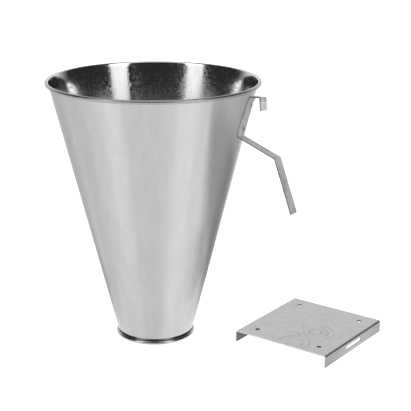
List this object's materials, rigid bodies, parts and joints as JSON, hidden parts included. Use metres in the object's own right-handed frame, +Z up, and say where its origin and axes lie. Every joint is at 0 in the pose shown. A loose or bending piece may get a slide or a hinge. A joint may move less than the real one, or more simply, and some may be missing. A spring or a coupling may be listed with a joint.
{
  "type": "poultry cone",
  "caption": "Sheet-steel poultry restraining funnel with wired rims and a riveted hanger strip, beside the loose folded wall plate that it hooks into.",
  "frame": {"origin": "on the funnel's axis, at the underside of the outlet bead, which stands on the floor", "axes": "+Z up along the funnel's axis, +X out of the wall plate's slotted flange"},
  "size_m": [0.335, 0.275, 0.3],
  "materials": {
    "funnel_sheet": "bright galvanised sheet, satin outside and mirror-bright inside",
    "edge_wire": "drawn steel wire",
    "hanger_sheet": "dull galvanised strip with faint spangle",
    "rivet_metal": "plain aluminium",
    "pin_metal": "plain steel",
    "plate_sheet": "dull galvanised sheet with faint round stains"
  },
  "bodies": {
    "funnel": {"funnel_shell": "funnel_sheet", "rim_wire": "edge_wire", "outlet_wire": "edge_wire", "hanger_strip": "hanger_sheet", "upper_rivet": "rivet_metal", "lower_rivet": "rivet_metal", "upper_rivet_pin": "pin_metal", "lower_rivet_pin": "pin_metal"},
    "wall_plate": {"wall_plate": "plate_sheet"}
  },
  "joints": [
    {"name": "plate_lift", "type": "slide", "parent": "funnel", "child": "wall_plate", "axis": [0, 0, 1], "range_m": [0, 0.1]}
  ]
}
